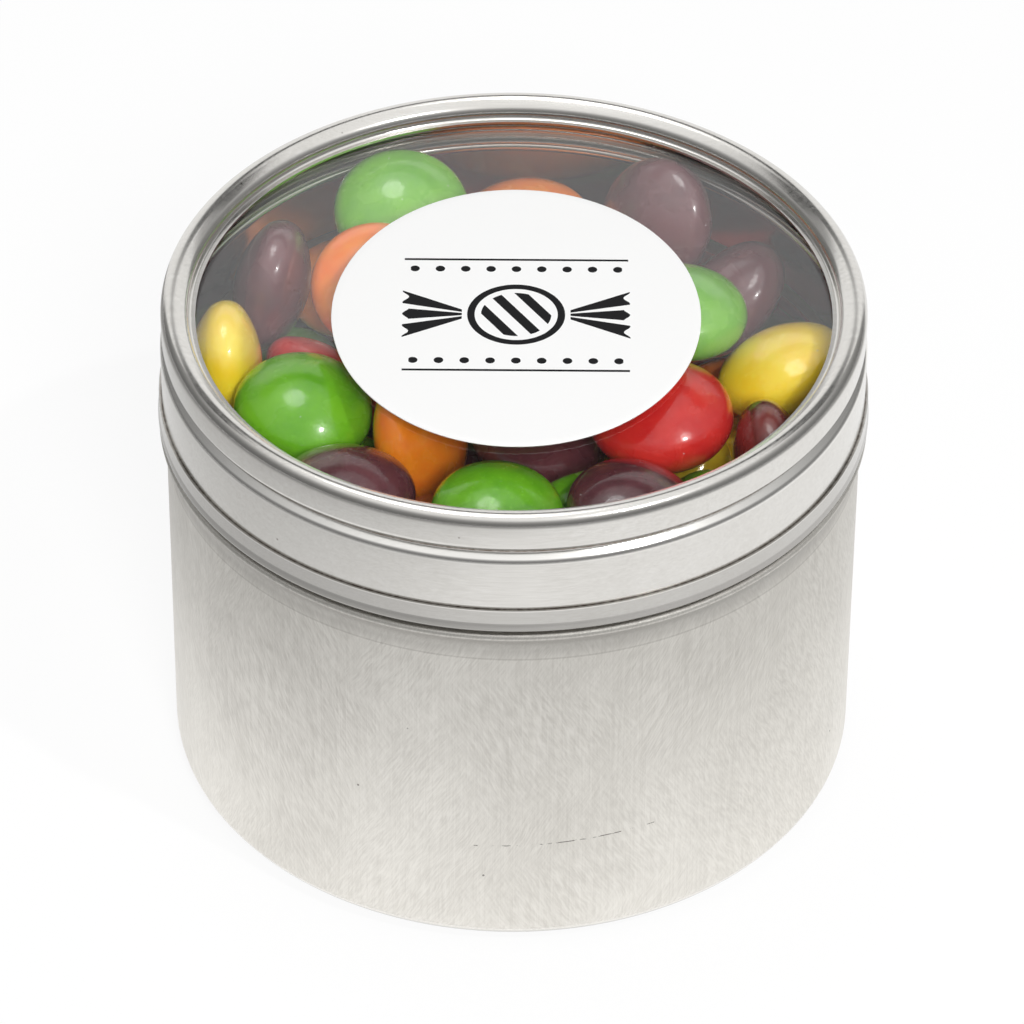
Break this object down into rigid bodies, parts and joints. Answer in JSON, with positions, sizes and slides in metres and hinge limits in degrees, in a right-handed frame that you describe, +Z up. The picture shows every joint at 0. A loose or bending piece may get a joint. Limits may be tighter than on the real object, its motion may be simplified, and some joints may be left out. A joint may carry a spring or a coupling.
{
  "type": "window lid tin",
  "caption": "Round drawn tin with a slip lid that frames a clear window, filled with flattened shell-coated sweets seen through the window.",
  "frame": {"origin": "centre of the tin in plan, at the plane the base stands on", "axes": "+Z up along the tin's axis, the label reads from -Y, +X to the right seen from there"},
  "size_m": [0.0674, 0.0674, 0.0522],
  "materials": {
    "body_tinplate": "bare tinplate, satin, fine upright grain",
    "lid_tinplate": "bare tinplate, satin, fine grain round the lid",
    "clear_window": "clear plastic sheet, glossy, lightly scuffed",
    "label_paper": "white film label, smooth, semi-matte",
    "green_shell": "sugar shell, glossy, faintly uneven",
    "orange_shell": "sugar shell, glossy, faintly uneven",
    "purple_shell": "sugar shell, glossy, faintly uneven",
    "yellow_shell": "sugar shell, glossy, faintly uneven",
    "red_shell": "sugar shell, glossy, faintly uneven",
    "maroon_shell": "sugar shell, glossy, faintly uneven"
  },
  "bodies": {
    "tin": {"tin_body": "body_tinplate", "sweet_green_back": "green_shell", "sweet_orange_left": "orange_shell", "sweet_purple_left": "purple_shell", "sweet_yellow_left": "yellow_shell", "sweet_red_left": "red_shell", "sweet_green_left": "green_shell", "sweet_orange_front": "orange_shell", "sweet_purple_front_left": "purple_shell", "sweet_green_front": "green_shell", "sweet_purple_middle": "purple_shell", "sweet_purple_front_right": "purple_shell", "sweet_red_right": "red_shell", "sweet_green_right": "green_shell", "sweet_purple_right": "purple_shell", "sweet_purple_back": "purple_shell", "sweet_orange_back": "orange_shell", "sweet_yellow_right": "yellow_shell", "sweet_maroon_right": "maroon_shell", "sweets_below_red": "red_shell", "sweets_below_orange": "orange_shell", "sweets_below_yellow": "yellow_shell", "sweets_below_green": "green_shell", "sweets_below_purple": "purple_shell"},
    "lid": {"lid_frame": "lid_tinplate", "window": "clear_window", "label": "label_paper"}
  },
  "joints": [
    {"name": "lid_lift", "type": "slide", "parent": "tin", "child": "lid", "axis": [0, 0, 1], "range_m": [0, 0.03]}
  ]
}
